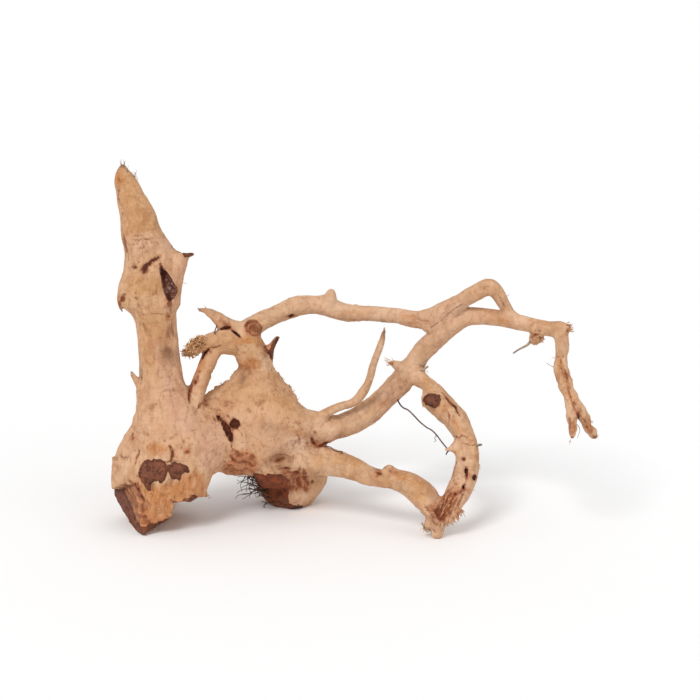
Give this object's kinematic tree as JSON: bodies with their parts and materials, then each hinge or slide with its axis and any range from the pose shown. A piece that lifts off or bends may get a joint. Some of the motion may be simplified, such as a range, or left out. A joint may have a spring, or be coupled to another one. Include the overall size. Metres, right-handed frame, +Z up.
{
  "type": "spiderwood root",
  "caption": "One-piece peeled driftwood root that stands on its own: a tall knobbly stem, a lumpy middle with a round bulb, and a fan of thin crooked branches",
  "frame": {"origin": "middle of the bounding box in plan, on the surface that the root rests on", "axes": "+Z up, +X from the tall stem towards the fan of branches, -Y the front that the picture shows"},
  "size_m": [0.3836, 0.1322, 0.2891],
  "materials": {
    "bare_wood": "matte"
  },
  "bodies": {
    "root": {"spiderwood_root": "bare_wood"}
  },
  "joints": []
}
